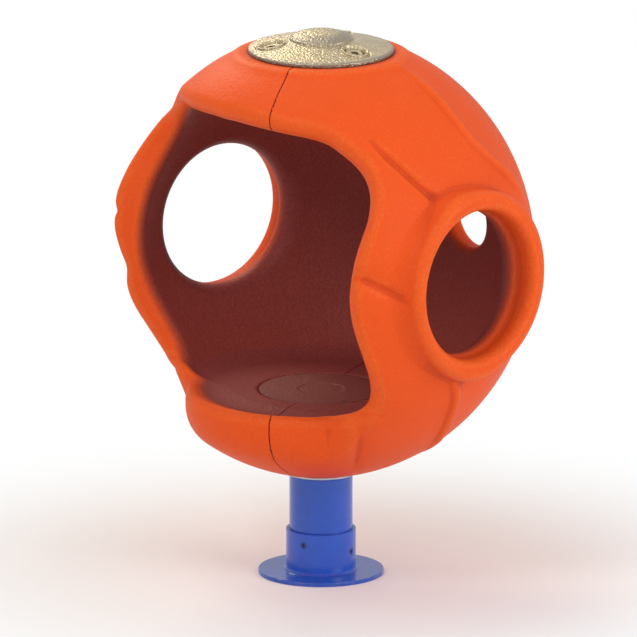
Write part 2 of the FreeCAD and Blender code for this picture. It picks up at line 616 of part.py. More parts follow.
ring_top, ring_t = CAP_Z - TOP_FLANGE_T, 6.0
ring = tube(146.0, 96.0, ring_top - ring_t, ring_top)
save(drill(ring, BOLT_HOLE_R, ring_top - 10, ring_top + 1, CAP_BOLT_R, CAP_BOLT_AZ),
     "cap_backing_ring")
save(group([hex_nut(ring_top - ring_t - NUT_H, az, CAP_BOLT_R) for az in CAP_BOLT_AZ]),
     "cap_nuts")
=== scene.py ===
"""An egg-shaped moulded pod seat with a cast cap, carried by the CAD pieces below it.

The pod's axis is the Z axis and the ground is z = 0. The doorway faces -Y, the two round
windows look to +X and -X, turned a little backwards, and a small round hole looks to +Y.
The shape is described in millimetres as distance functions, negative inside the material,
and meshed in metres. Azimuths are in degrees from -Y, positive towards +X.
"""

import json
import math
from functools import reduce
from itertools import product

import bmesh
import bpy
import numpy as np
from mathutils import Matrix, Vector


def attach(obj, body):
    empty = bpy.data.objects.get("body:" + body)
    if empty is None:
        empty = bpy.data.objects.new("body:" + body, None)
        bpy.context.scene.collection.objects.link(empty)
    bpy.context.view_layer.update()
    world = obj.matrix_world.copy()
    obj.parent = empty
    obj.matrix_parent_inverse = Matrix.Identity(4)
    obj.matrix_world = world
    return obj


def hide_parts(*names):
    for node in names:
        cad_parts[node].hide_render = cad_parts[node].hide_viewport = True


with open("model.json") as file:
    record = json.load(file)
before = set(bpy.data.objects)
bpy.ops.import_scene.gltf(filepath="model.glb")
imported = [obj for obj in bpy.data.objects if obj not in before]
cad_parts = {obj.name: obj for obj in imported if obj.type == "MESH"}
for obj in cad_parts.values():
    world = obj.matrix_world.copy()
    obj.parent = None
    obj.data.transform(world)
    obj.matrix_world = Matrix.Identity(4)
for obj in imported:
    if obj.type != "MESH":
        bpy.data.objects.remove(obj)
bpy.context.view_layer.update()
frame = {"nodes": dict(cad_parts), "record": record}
RAD = np.pi / 180
FAR = 1e3  # a distance safely outside everything

# ---------------------------------------------------------------- dimensions of the pod, mm
CENTRE_Z = 786.0
OUTER_R = 514.0  # the egg's radius and half height
OUTER_HALF = 538.0
WALL = 60.0
SEAT_Z = 455.0
BOTTOM_Z, TOP_Z = 254.0, 1287.0

# rounded disc that fills the shoulder under the cap
SHOULDER_R, SHOULDER_Z, SHOULDER_HALF, SHOULDER_ROUND = 176, 1240, 21, 26

WINDOW_AZIMUTHS = (97.4, -97.4)
WINDOW_Z, WINDOW_R = 795.0, 174.0
COLLAR_R, COLLAR_ROUND = 199, 25.5
COLLAR_REACH = 496.0  # from the pod's axis to the start of the collar's rounding
WINDOW_NEAR = 300  # nothing of a window lies closer to the pod's axis
REAR_Z, REAR_R = 806.0, 73.0

LIP_R = 334.0  # radius of the front below the seat's edge
LIP_WALL = 36
LIP_Z = 463.0  # lower limit of the doorway

SEAM_AZIMUTH = 28.0
GROOVE_HALF, GROOVE_DEPTH = 2.3, 4.5
# square pockets in pairs beside the rear seam
POCKET_HEIGHTS = (520.0, 790.0, 1060.0)
POCKET_HALF, POCKET_OFFSET, POCKET_DEPTH = 21, 45, 47

# bores about the pod's axis: radius, lowest z, highest z, edge rounding
BORES = (
    (62.0, -np.inf, 500.0, 0),
    (132.0, 428.0, 520.0, 0),
    (151.5, 447.0, 520.0, 1.5),
    (72.0, 1150.0, np.inf, 0),
    (150.0, 1150.0, 1251.0, 0),
)

# right half of the doorway's outline: azimuth, height, radius of the wall's middle there
DOOR = (
    (0, 1180, 311), (12, 1179, 312), (33, 1168, 322), (50, 1152, 337), (58.5, 1128, 368),
    (64.5, 1090, 400), (66.5, 1045, 430), (65, 985, 455), (62, 930, 472), (59.6, 870, 482),
    (58.4, 799, 486), (59, 740, 484), (60.6, 690, 478), (63, 636, 462), (65.5, 583, 436),
    (66.8, 535, 405), (65.5, 497, 376), (62.5, 460, 350), (59, 400, 330), (45, 330, 300),
    (25, 300, 290),
)
DOOR_LOW_Z, DOOR_LOW_R = 295.0, 288.0  # the outline's lowest point, at azimuth 0

# raised (+) and sunk (-) lines on both sides: (azimuth, elevation) points, height, width
LINES = (
    (((89, 23.5), (85, 27.5), (81, 31.5), (77.3, 35.4), (72.3, 40.4), (68, 45)), -14, 9.5),
    (((130, 19), (123, 26), (115.5, 33.5), (111, 40), (110, 46), (110, 53), (110.5, 60),
      (111.5, 68)), 13, 12.5),
    (((74.5, 0), (70, 2.4), (66, 4.4), (62, 6.4), (58, 7.6)), -12, 10.5),
    (((92, -24), (97, -32), (100.5, -41), (106, -50), (114, -59)), 12, 10),
    (((67, -25), (65, -33), (64.5, -41), (67, -55), (70, -63)), -8, 13),
)
LINE_SCALE = 500  # radius that turns an angle into a distance from a line

# outward flare of the doorway's side rims: azimuth, angular width, elevations, heights
FLARES = (
    (-64, 13,
     (-60, -50, -46, -42, -39, -35, -31, -27, -23, -19, -15.6, -12, -8.6, -5, -1.5, 2, 5.6,
      9, 12.6, 16, 19.5, 23, 26.5, 30, 33, 38, 60),
     (0, -6, -12, -14, -8, 6, 15, 19, 20, 19, 16, 8, -6, 3, 11, 20, 27,
      29, 27, 24, 22, 19, 15, 10, 4, -10, 0)),
    (62, 11,
     (-50, -40, -32, -24, -16, -8, -1, 6, 12, 20, 28, 36, 44, 52),
     (0, 2, 7, 10, 8, 3, -1, -1, 4, 9, 11, 8, 3, 0)),
)


# ---------------------------------------------------------------- building blocks of shapes
def smooth_step(value, start, end):
    t = np.clip((value - start) / (end - start), 0, 1)
    return t * t * (3 - 2 * t)


def hump(value, centre, width):
    return np.exp(-(((value - centre) / width) ** 2))


def heading(azimuth):
    return np.sin(azimuth * RAD), -np.cos(azimuth * RAD)


def ellipsoid(x, y, z, radius, half_height):
    flat = x * x + y * y
    k0 = np.sqrt(flat / (radius * radius) + z * z / (half_height * half_height)) + 1e-9
    k1 = np.sqrt(flat / (radius ** 4) + z * z / (half_height ** 4)) + 1e-12
    return k0 * (k0 - 1) / k1


def box(a, b):
    """Distance to the corner region where both a and b are negative."""
    return np.minimum(np.maximum(a, b), 0) + np.hypot(np.maximum(a, 0), np.maximum(b, 0))


def round_max(a, b, radius):
    """Intersection with its edge rounded to a radius."""
    outside = np.hypot(np.maximum(radius + a, 0), np.maximum(radius + b, 0))
    return np.minimum(-radius, np.maximum(a, b)) + outside


def soft_min(a, b, blend):
    """Union with a fillet."""
    h = np.clip(0.5 + 0.5 * (b - a) / blend, 0, 1)
    return b * (1 - h) + a * h - blend * h * (1 - h)


def soft_max(a, b, blend):
    return -soft_min(-a, -b, blend)


def intersect(*parts):
    return reduce(np.maximum, parts)


def cut(solid, hole, edge=0):
    """Removes the hole, its edge sharp or rounded."""
    return round_max(solid, -hole, edge) if edge else np.maximum(solid, -hole)


# ---------------------------------------------------------------- tables over azimuth, elevation
TABLE_AZIMUTHS, TABLE_ELEVATIONS = 721, 361


def catmull(points, steps, closed):
    """Catmull-Rom curve through the points."""
    points = np.asarray(points, float)
    count = len(points)
    out = []
    for i in range(count if closed else count - 1):
        if closed:
            a, b, c, d = (points[(i + k) % count] for k in (-1, 0, 1, 2))
        else:
            a, b, c, d = (points[min(max(i + k, 0), count - 1)] for k in (-1, 0, 1, 2))
        for t in np.arange(steps) / steps:
            out.append(0.5 * ((2 * b) + (-a + c) * t + (2 * a - 5 * b + 4 * c - d) * t * t
                              + (-a + 3 * b - 3 * c + d) * t ** 3))
    if not closed:
        out.append(points[-1])
    return np.array(out)


def direction(azimuth, elevation):
    """Unit vectors, from angles in radians."""
    return np.stack([np.cos(elevation) * np.sin(azimuth),
                     -np.cos(elevation) * np.cos(azimuth), np.sin(elevation)], -1)


def line_distance(points, line, closed):
    """Least distance from each point to the line, and the share of the line passed there."""
    count = len(line)
    best, along = np.full(len(points), 1e9), np.zeros(len(points))
    for k in range(count if closed else count - 1):
        start, end = line[k], line[(k + 1) % count]
        step = end - start
        t = np.clip((points - start) @ step / (step @ step + 1e-12), 0, 1)
        gap = points - start - t[:, None] * step
        square = np.einsum("ij,ij->i", gap, gap)
        closer = square < best
        best[closer] = square[closer]
        along[closer] = (k + t[closer]) / (count - 1)
    return np.sqrt(best), along


def door_table(azimuths, elevations, directions):
    """Signed angle to the doorway's outline, negative inside it."""
    side = [(a * RAD, np.arctan2(z - CENTRE_Z, r)) for a, z, r in DOOR]
    low = (0.0, np.arctan2(DOOR_LOW_Z - CENTRE_Z, DOOR_LOW_R))
    outline = catmull(side + [low] + [(-a, e) for a, e in reversed(side[1:])], 6, True)
    line_x, line_y = outline[:, 0], outline[:, 1]
    distance, _ = line_distance(directions, direction(line_x, line_y), True)
    inside = np.zeros(len(azimuths), bool)
    for xa, ya, xb, yb in zip(line_x, line_y, np.roll(line_x, -1), np.roll(line_y, -1)):
        if ya == yb:
            continue
        level = (ya > elevations) != (yb > elevations)
        inside ^= level & (azimuths < (xb - xa) * (elevations - ya) / (yb - ya) + xa)
    return np.where(inside, -distance, distance)


def line_relief(directions):
    """Height of the raised and sunk lines."""
    relief = np.zeros(len(directions))
    for points, height, width in LINES:
        for side in (1, -1):
            line = catmull([(side * a * RAD, e * RAD) for a, e in points], 6, False)
            angle, along = line_distance(directions, direction(line[:, 0], line[:, 1]), False)
            fade = np.interp(along, [0, 0.15, 0.75, 1], [0.35, 1, 1, 0.1])
            gap = angle * LINE_SCALE
            relief += height * fade * (0.6 * hump(gap, 0, width)
                                       + 0.4 * hump(gap, 0, 2.4 * width))
    return relief


def make_tables():
    azimuth = np.linspace(-np.pi, np.pi, TABLE_AZIMUTHS)
    elevation = np.linspace(-np.pi / 2, np.pi / 2, TABLE_ELEVATIONS)
    grid_a, grid_e = np.meshgrid(azimuth, elevation, indexing="ij")
    flat_a, flat_e = grid_a.ravel(), grid_e.ravel()
    directions = direction(flat_a, flat_e)
    door = door_table(flat_a, flat_e, directions).reshape(grid_a.shape)
    relief = line_relief(directions).reshape(grid_a.shape)
    reach = 12  # half length of the kernel that smooths the flares
    kernel = hump(np.arange(-reach, reach + 1), 0, 4.0)
    kernel /= kernel.sum()
    for centre, width, elevations, heights in FLARES:
        rim = np.interp(elevation / RAD, elevations, heights)
        rim = np.convolve(np.pad(rim, reach, mode="edge"), kernel, "valid")
        relief += hump(azimuth / RAD, centre, width)[:, None] * rim[None, :]
    return door, relief


def look_up(table, azimuth, elevation):
    """Bilinear reading of a table, from angles in radians."""
    u = (azimuth + np.pi) / (2 * np.pi) * (TABLE_AZIMUTHS - 1)
    v = (elevation + np.pi / 2) / np.pi * (TABLE_ELEVATIONS - 1)
    i = np.clip(u.astype(int), 0, TABLE_AZIMUTHS - 2)
    j = np.clip(v.astype(int), 0, TABLE_ELEVATIONS - 2)
    fu, fv = u - i, v - j
    return ((table[i, j] * (1 - fu) + table[i + 1, j] * fu) * (1 - fv)
            + (table[i, j + 1] * (1 - fu) + table[i + 1, j + 1] * fu) * fv)


DOOR_TABLE, RELIEF_TABLE = make_tables()


# ---------------------------------------------------------------- the pod
def lip_widening(turn):
    """Growth of the lower front's radius towards the sides; turn is degrees from -Y."""
    return 150 * smooth_step(turn, 52, 76)


def window(x, y, z, azimuth):
    """One side window: its collar, the collar's fillet and the bore."""
    dx, dy = heading(azimuth)
    out = x * dx + y * dy
    px, py = x - out * dx, y - out * dy
    back = px * np.cos(azimuth * RAD) + py * np.sin(azimuth * RAD)
    back = back if azimuth > 0 else -back
    up = z - WINDOW_Z
    radius = np.sqrt(px * px + py * py + up ** 2)
    # 1 at the collar's rear, -1 at its front; turn is 0 at the rear and 90 at the top
    rearward, turn = back / (radius + 1e-6), np.arctan2(up, back) / RAD
    corner = hump(turn, 108, 17) + 0.8 * hump(turn, -95, 22)
    half_width = 2 + 6 * corner
    middle = COLLAR_R + 8 * rearward + 6 * corner
    collar = box(np.abs(radius - middle) - half_width, out - COLLAR_REACH)
    collar = collar - (COLLAR_ROUND + 3 * rearward)
    collar = np.where(out > WINDOW_NEAR, collar, FAR)
    fillet = 8 + 24 * smooth_step(-rearward, 0.35, 0.9)
    return collar, fillet, np.where(out > 0, radius - WINDOW_R, FAR)


def cut_fittings(solid, x, y, z, radius):
    """Cuts the bores on the axis and the pockets beside the rear seam."""
    for bore_r, low, high, edge in BORES:
        solid = cut(solid, intersect(radius - bore_r, low - z, z - high), edge)
    dx, dy = heading(SEAM_AZIMUTH + 180)
    out, across = x * dx + y * dy, -x * dy + y * dx
    for height in POCKET_HEIGHTS:
        wall_r = OUTER_R * np.sqrt(1 - ((height - CENTRE_Z) / OUTER_HALF) ** 2)
        square = round_max(np.abs(z - height) - POCKET_HALF,
                           np.abs(np.abs(across) - POCKET_OFFSET) - POCKET_HALF, 9)
        pocket = round_max(square, (wall_r - POCKET_DEPTH) - out, 5)
        solid = cut(solid, pocket, edge=3)
    return solid


def shell(x, y, z, fittings=True):
    """Distance to the pod's skin: negative in the wall, positive outside and in the cabin."""
    up = z - CENTRE_Z
    radius = np.hypot(x, y)
    azimuth = np.arctan2(x, -y)
    turn = np.abs(azimuth) / RAD
    elevation = np.arctan2(up, radius)
    outer = ellipsoid(x, y, up, OUTER_R, OUTER_HALF)
    shoulder = box(radius - SHOULDER_R, np.abs(z - SHOULDER_Z) - SHOULDER_HALF) - SHOULDER_ROUND
    outer = soft_min(outer, shoulder, 34)
    outer = outer - look_up(RELIEF_TABLE, azimuth, elevation)
    # the front below the seat's edge stands back
    front_r = LIP_R - 9 * hump(turn, 44, 17) + lip_widening(turn) + 0.9 * np.maximum(z - 490, 0)
    outer = soft_max(outer, (radius - front_r) * 0.9, 40)
    bores = FAR
    for side in WINDOW_AZIMUTHS:
        collar, fillet, bore = window(x, y, z, side)
        outer = soft_min(outer, collar, fillet)
        bores = np.minimum(bores, bore)
    inner = ellipsoid(x, y, up, OUTER_R - WALL, OUTER_HALF - WALL)
    inner = soft_max(inner, (radius - (front_r - LIP_WALL)) * 0.9, 40)
    inner = soft_max(inner, SEAT_Z - z, 34)
    solid = cut(outer, inner, edge=10)
    solid = cut(solid, bores, edge=27)
    rear = np.where(y > 0, np.sqrt(x * x + (z - REAR_Z) ** 2) - REAR_R, FAR)
    solid = cut(solid, rear, edge=22)
    door = look_up(DOOR_TABLE, azimuth, elevation) * np.sqrt(radius * radius + up * up)
    solid = cut(solid, round_max(door, LIP_Z - z, 60), edge=27)
    solid = round_max(solid, z - TOP_Z, 6)
    solid = np.maximum(solid, BOTTOM_Z - z)
    return cut_fittings(solid, x, y, z, radius) if fittings else solid


# ---------------------------------------------------------------- the cap
CAP_R = 175.0
CAP_ANGLE = 11.8 * RAD
CAP_SLOPE, CAP_COS = np.tan(CAP_ANGLE), np.cos(CAP_ANGLE)
CAP_RIM, CAP_RIM_R = 10.5, 171.0  # height of the cone above the pod's top at this radius
LUMP_CELL, LUMP_HEIGHT = 7.5, 0.8
DOME_R, DOME_INNER_R = 76.0, 69.0
BOSS_R, BOSS_AZIMUTHS = 121.0, (-28.0, 92.0, 212.0)
RING_RISE = 0.9  # the bead's and groove's centres above the cone
BEAD_R, BEAD_ROUND = 30.6, 4.0
GROOVE_R, GROOVE_ROUND = 37.2, 2.9
DISH_R, DISH_DEPTH = 27.6, 7.5
PAD_R, PAD_SINK, PAD_HALF = 20.5, 5.0, 3.2
HOLE_R, COUNTERBORE_R = 8.6, 12.5
HOLE_FLOOR, COUNTERBORE_TOP = 8.0, 16.4  # above the pod's top
HOLLOW_R, CAP_SKIN, PILLAR_R = 166.0, 5.0, 29.0


def cap_top(radius):
    """Height of the cone at a radius."""
    return TOP_Z + CAP_RIM + (CAP_RIM_R - radius) * CAP_SLOPE


def cell_random(i, j, k):
    """Repeatable pseudo-random numbers from whole-number cell indices."""
    n = (i.astype(np.int64) * 73856093) ^ (j.astype(np.int64) * 19349663) ^ (k * 83492791)
    n = (n ^ (n >> 13)) * 1274126177 & 0x7FFFFFFF
    return (n & 0xFFFF) / 65535.0


def pebble(x, y):
    """Rounded lumps about one cell across, slightly below 0 in the gaps and 1 on the lumps."""
    gx, gy = x / LUMP_CELL, y / LUMP_CELL
    ix, iy = np.floor(gx), np.floor(gy)
    nearest = np.full(np.shape(gx), 9.0)
    for a, b in product((-1, 0, 1), repeat=2):
        cx, cy = ix + a, iy + b
        px = cx + 0.15 + 0.7 * cell_random(cx, cy, 1)
        py = cy + 0.15 + 0.7 * cell_random(cx, cy, 2)
        nearest = np.minimum(nearest, (gx - px) ** 2 + (gy - py) ** 2)
    return np.clip(1.0 - nearest * 1.9, -0.2, 1)


def add_boss(body, x, y, z, azimuth):
    """Bolt boss: a bead inside a groove, a dish with a pad and a hole. Also its pillar."""
    dx, dy = heading(azimuth)
    px, py, pz = x - BOSS_R * dx, y - BOSS_R * dy, z - cap_top(BOSS_R)
    rise = px * (np.sin(CAP_ANGLE) * dx) + py * (np.sin(CAP_ANGLE) * dy) + pz * CAP_COS
    ring = np.sqrt(np.maximum(px * px + py * py + pz * pz - rise * rise, 0))
    upright = np.hypot(px, py)
    body = soft_min(body, np.hypot(ring - BEAD_R, rise - RING_RISE) - BEAD_ROUND, 0.8)
    body = cut(body, np.hypot(ring - GROOVE_R, rise - RING_RISE) - GROOVE_ROUND, edge=0.6)
    dish = np.maximum((ring - DISH_R) * 0.85 + (-rise) * 0.5, -rise - DISH_DEPTH)
    body = cut(body, dish, edge=1.2)
    pad = np.maximum(ring - PAD_R, np.abs(rise + PAD_SINK) - PAD_HALF)
    body = soft_min(body, np.maximum(pad, TOP_Z + 4 - z), 1.2)
    floor = TOP_Z + HOLE_FLOOR - z
    body = cut(body, np.maximum(upright - HOLE_R, floor), edge=0.6)
    body = cut(body, intersect(upright - COUNTERBORE_R, floor, z - TOP_Z - COUNTERBORE_TOP))
    return body, upright - PILLAR_R


def cap(x, y, z):
    """Distance to the cap: a low cone with a thin rim, three bolt bosses and a round dome."""
    radius = np.hypot(x, y)
    lumps = LUMP_HEIGHT * pebble(x, y)
    cone = (z - cap_top(radius)) * CAP_COS - lumps
    body = round_max(np.maximum(radius - CAP_R, TOP_Z - z), cone, 3.0)
    dome_z = cap_top(DOME_R) - 1.5
    arch = np.sqrt(np.clip(1 - (radius / DOME_R) ** 2, 0, 1))
    edge = round_max(radius - DOME_R, z - (dome_z + 8.5), 3.5)
    dome_top = dome_z + 4.0 + 20.0 * arch ** 1.3
    dome = round_max(radius - DOME_INNER_R, (z - dome_top - lumps) * 0.7, 2.0)
    dome = soft_min(edge, dome, 4.0)
    body = soft_min(body, np.maximum(dome, TOP_Z - z), 2.0)
    pillars = FAR
    for azimuth in BOSS_AZIMUTHS:
        body, pillar = add_boss(body, x, y, z, azimuth)
        pillars = np.minimum(pillars, pillar)
    # the underside is hollow, except for a pillar under each boss
    hollow = intersect(radius - HOLLOW_R, (z - cap_top(radius) + CAP_SKIN) * CAP_COS,
                       z - cap_top(82.0) + 4.6)
    return cut(body, np.maximum(hollow, -pillars))


# ---------------------------------------------------------------- from distance to mesh
def field(shape, low, high, pitch):
    """Distances on a grid. Only coarse cells near the surface are worked out in full."""
    coarse = 4 * pitch
    n = np.ceil((np.array(high) - np.array(low)) / coarse).astype(int) + 1
    x, y, z = np.meshgrid(*(low[k] + coarse * np.arange(n[k]) for k in range(3)), indexing="ij")
    values = shape(x.ravel(), y.ravel(), z.ravel()).reshape(x.shape)
    near = np.abs(values) < coarse * 1.9
    cells = np.zeros(tuple(n - 1), bool)
    for a, b, c in product((0, 1), repeat=3):
        cells |= near[a:n[0] - 1 + a, b:n[1] - 1 + b, c:n[2] - 1 + c]

    def refine(array, **padding):
        for axis in range(3):
            array = np.repeat(array, 4, axis)
        return np.pad(array, ((0, 1),) * 3, **padding)

    fine = refine(values[:-1, :-1, :-1], mode="edge")
    mask = refine(cells)
    for axis in range(3):  # the far faces of the chosen cells
        shifted = np.roll(mask, 1, axis)
        first = [slice(None)] * 3
        first[axis] = 0
        shifted[tuple(first)] = False
        mask |= shifted
    ids = np.argwhere(mask)
    near_values = np.empty(len(ids))
    batch = 400000  # limits the memory in use
    for k in range(0, len(ids), batch):
        near_values[k:k + batch] = shape(*(np.array(low) + pitch * ids[k:k + batch]).T)
    fine[mask] = near_values
    return fine


def gradient(shape, points, probe):
    out = np.empty_like(points)
    for k in range(3):
        step = np.zeros(3)
        step[k] = probe
        out[:, k] = (shape(*(points + step).T) - shape(*(points - step).T)) / (2 * probe)
    return out


def unit(vectors):
    return vectors / np.maximum(np.linalg.norm(vectors, axis=1, keepdims=True), 1e-9)


def grid_points(values, inside, low, pitch):
    """One point per cell the surface crosses: the mean of its edge crossings."""
    nx, ny, nz = values.shape
    count = np.zeros((nx - 1, ny - 1, nz - 1), np.int8)
    for a, b, c in product((0, 1), repeat=3):
        count += inside[a:nx - 1 + a, b:ny - 1 + b, c:nz - 1 + c]
    active = (count > 0) & (count < 8)
    ids = np.argwhere(active)
    index = np.full(active.shape, -1, np.int64)
    index[active] = np.arange(len(ids))
    total, weight = np.zeros((len(ids), 3)), np.zeros(len(ids))
    for axis in range(3):
        others = [k for k in range(3) if k != axis]
        for corner in product((0, 1), repeat=2):
            start = np.zeros(3, int)
            start[others] = corner
            end = start.copy()
            end[axis] = 1
            f0, f1 = values[tuple((ids + start).T)], values[tuple((ids + end).T)]
            crossed = (f0 < 0) != (f1 < 0)
            t = f0[crossed] / (f0[crossed] - f1[crossed])
            total[crossed] += start + (end - start) * t[:, None]
            weight[crossed] += 1
    return np.array(low) + pitch * (ids + total / weight[:, None]), index


def grid_quads(inside, index):
    """One quad around each grid edge the surface crosses, facing outwards."""
    quads = []
    for axis in range(3):
        u, v = [(1, 2), (2, 0), (0, 1)][axis]
        lower, upper = [slice(1, -1)] * 3, [slice(1, -1)] * 3
        lower[axis], upper[axis] = slice(0, -1), slice(1, None)
        a, b = inside[tuple(lower)], inside[tuple(upper)]
        offset, du, dv = np.ones(3, int), np.zeros(3, int), np.zeros(3, int)
        offset[axis] = 0
        du[u], dv[v] = 1, 1
        for crossing, order in ((a & ~b, 1), (~a & b, -1)):
            edges = np.argwhere(crossing)
            if not len(edges):
                continue
            edges = edges + offset
            corners = (edges - du - dv, edges - dv, edges, edges - du)
            quads.append(np.stack([index[tuple(c.T)] for c in corners], 1)[:, ::order])
    quads = np.concatenate(quads)
    return quads[(quads >= 0).all(1)]


def surface(shape, low, high, pitch, probe=0.8):
    """Quad mesh of shape = 0, its points moved onto the surface, and the normals there."""
    values = field(shape, low, high, pitch)
    inside = values < 0
    start, index = grid_points(values, inside, low, pitch)
    quads = grid_quads(inside, index)
    points = start
    for _ in range(3):
        slope = gradient(shape, points, probe)
        distance = shape(*points.T)
        move = -(distance / np.maximum((slope * slope).sum(1), 0.04))[:, None] * slope
        length = np.linalg.norm(move, axis=1, keepdims=True)
        points = points + move * np.minimum(1, 0.4 * pitch / np.maximum(length, 1e-9))
        points = start + np.clip(points - start, -0.75 * pitch, 0.75 * pitch)
    return points, quads, unit(gradient(shape, points, probe))


def relax(points, quads, normals, share):
    """Evens the spacing of the points by sliding each one in its tangent plane."""
    total, weight = np.zeros_like(points), np.zeros(len(points))
    for a, b in ((0, 1), (1, 2), (2, 3), (3, 0)):
        np.add.at(total, quads[:, a], points[quads[:, b]])
        np.add.at(total, quads[:, b], points[quads[:, a]])
        np.add.at(weight, quads[:, a], 1)
        np.add.at(weight, quads[:, b], 1)
    move = total / np.maximum(weight, 1)[:, None] - points
    move -= (move * normals).sum(1, keepdims=True) * normals
    return points + share * move


# ---------------------------------------------------------------- shader helpers
class Graph:
    """A node tree whose inputs take numbers, colours, vectors or other nodes' sockets."""

    def __init__(self, tree):
        self.tree = tree

    def feed(self, socket, value):
        if isinstance(value, bpy.types.NodeSocket):
            self.tree.links.new(value, socket)
        else:
            socket.default_value = (*value, 1) if socket.type == "RGBA" else value

    def feed_named(self, node, named):
        for name, value in named.items():
            self.feed(node.inputs[name.replace("_", " ")], value)

    def node(self, kind, *ordered, setup=None, **named):
        """New node; setup holds its properties, the rest are inputs by order or name."""
        node = self.tree.nodes.new("ShaderNode" + kind)
        for name, value in (setup or {}).items():
            setattr(node, name, value)
        for socket, value in zip(node.inputs, ordered):
            self.feed(socket, value)
        self.feed_named(node, named)
        return node


class Material(Graph):
    def __init__(self, name):
        self.material = bpy.data.materials.new(name)
        self.material.use_nodes = True
        super().__init__(self.material.node_tree)
        self.shader = self.tree.nodes["Principled BSDF"]
        self.place = self.node("TexCoord").outputs["Object"]

    def set(self, **inputs):
        self.feed_named(self.shader, inputs)

    def noise(self, scale, detail=3.0, rough=0.5, place=None, distort=0.0):
        return self.node("TexNoise", Scale=scale, Detail=detail, Roughness=rough,
                         Distortion=distort, Vector=place or self.place).outputs["Fac"]

    def voronoi(self, scale, smooth):
        return self.node("TexVoronoi", setup={"feature": "SMOOTH_F1"}, Scale=scale,
                         Smoothness=smooth, Vector=self.place).outputs["Distance"]

    def ramp(self, value, *stops):
        """Stops are (position, grey)."""
        node = self.node("ValToRGB", Fac=value)
        elements = node.color_ramp.elements
        while len(elements) < len(stops):
            elements.new(0.5)
        for element, (position, grey) in zip(elements, stops):
            element.position = position
            element.color = (grey, grey, grey, 1)
        return node.outputs["Color"]

    def fade(self, value, start, end, low=0.0, high=1.0):
        return self.ramp(value, (start, low), (end, high))

    def mix(self, share, a, b):
        node = self.node("Mix", setup={"data_type": "RGBA"})
        for k, value in ((0, share), (6, a), (7, b)):
            self.feed(node.inputs[k], value)
        return node.outputs[2]

    def calc(self, operation, a, b, clamp=False):
        setup = {"operation": operation, "use_clamp": clamp}
        return self.node("Math", a, b, setup=setup).outputs[0]

    def vector(self, operation, *vectors):
        return self.node("VectorMath", *vectors, setup={"operation": operation})

    def attribute(self, name):
        return self.node("Attribute", setup={"attribute_name": name}).outputs["Fac"]

    def occlusion(self, distance):
        """1 in the open, less in corners."""
        return self.node("AmbientOcclusion", setup={"samples": 8}, Distance=distance).outputs["AO"]

    def vary_roughness(self, pattern, spread, lowest):
        self.set(Roughness=self.calc("ADD", self.calc("MULTIPLY", pattern, spread), lowest))

    def bump(self, height, distance, strength, **normal):
        node = self.node("Bump", Distance=distance, Strength=strength, Height=height, **normal)
        self.set(Normal=node.outputs["Normal"])
        return node.outputs["Normal"]


def srgb(*channels):
    """Linear colour from 8-bit sRGB."""
    return tuple(((c / 255) / 12.92 if c / 255 <= 0.04045 else ((c / 255 + 0.055) / 1.055) ** 2.4)
                 for c in channels)


def shade(colour, factor):
    return tuple(v * factor for v in colour)


# ---------------------------------------------------------------- materials
def plastic(name, base, rough, specular, inner=None):
    """Moulded plastic with orange peel and mottling. The inner colour is painted shade over the
    cabin's inside; convex edges get a painted highlight, and creases and corners get painted
    shade.
    """
    m = Material(name)
    mottle = m.noise(scale=9.0, detail=4.0, rough=0.55)
    fine = m.noise(scale=210.0, detail=3.0, rough=0.6)
    colour = m.mix(m.fade(mottle, start=0.3, end=0.7), shade(base, 0.955), shade(base, 1.04))
    colour = m.mix(m.fade(fine, start=0.42, end=0.62), shade(base, 0.93), colour)
    if inner is not None:
        inside = m.attribute("inside")
        # painted shade: the cabin's darker colour, with a fine mottle
        cabin_shade = m.mix(m.fade(fine, start=0.35, end=0.65), shade(inner, 0.8), shade(inner, 1.12))
        bend = m.attribute("bend")
        highlight_breakup = m.noise(scale=120.0, detail=5.0, rough=0.7, distort=0.6)
        highlight_breakup = m.fade(highlight_breakup, start=0.42, end=0.60, low=0.2)
        # bends sharper than these, in 1/mm, count as edges and creases
        edge_from, crease_from = 0.015, 0.0105
        edge = m.calc("MULTIPLY", m.calc("SUBTRACT", bend, edge_from), 34.0, clamp=True)
        hollow = m.calc("SUBTRACT", m.calc("MULTIPLY", bend, -1.0), crease_from)
        crease_shade = m.calc("MULTIPLY", hollow, 45.0, clamp=True)
        # painted highlight: convex edges lightened to light orange, broken up by noise
        painted_light_share = m.calc("MULTIPLY", edge, m.calc("MULTIPLY", highlight_breakup, 0.2))
        colour = m.mix(painted_light_share, colour, srgb(250, 138, 60))
        # painted shade: creases darkened towards a dark red-brown
        crease_shade_colour = tuple(v * k for v, k in zip(base, (0.62, 0.42, 0.5)))
        colour = m.mix(m.calc("MULTIPLY", crease_shade, 0.36), colour, crease_shade_colour)
        # painted shade over the cabin's inside, where the mask is 1
        colour = m.mix(inside, colour, cabin_shade)
    # painted shade: colour darkened towards 0.55 of the inner or base colour in corners the
    # occlusion node finds
    open_share = m.fade(m.occlusion(distance=0.045), start=0.45, end=0.85)
    colour = m.mix(open_share, shade(inner or base, 0.55), colour)
    m.set(Base_Color=colour, Specular_IOR_Level=specular)
    m.vary_roughness(fine, spread=0.16, lowest=rough - 0.08)
    peel = m.voronoi(scale=150.0, smooth=0.9)
    grain = m.noise(scale=420.0, detail=2.0)
    wave = m.noise(scale=34.0, detail=2.0)
    height = m.calc("ADD", m.calc("MULTIPLY", peel, 0.55), m.calc("MULTIPLY", grain, 0.32))
    normal = m.bump(height, distance=0.0022, strength=0.7)
    m.bump(wave, distance=0.0024, strength=0.4, Normal=normal)
    return m.material


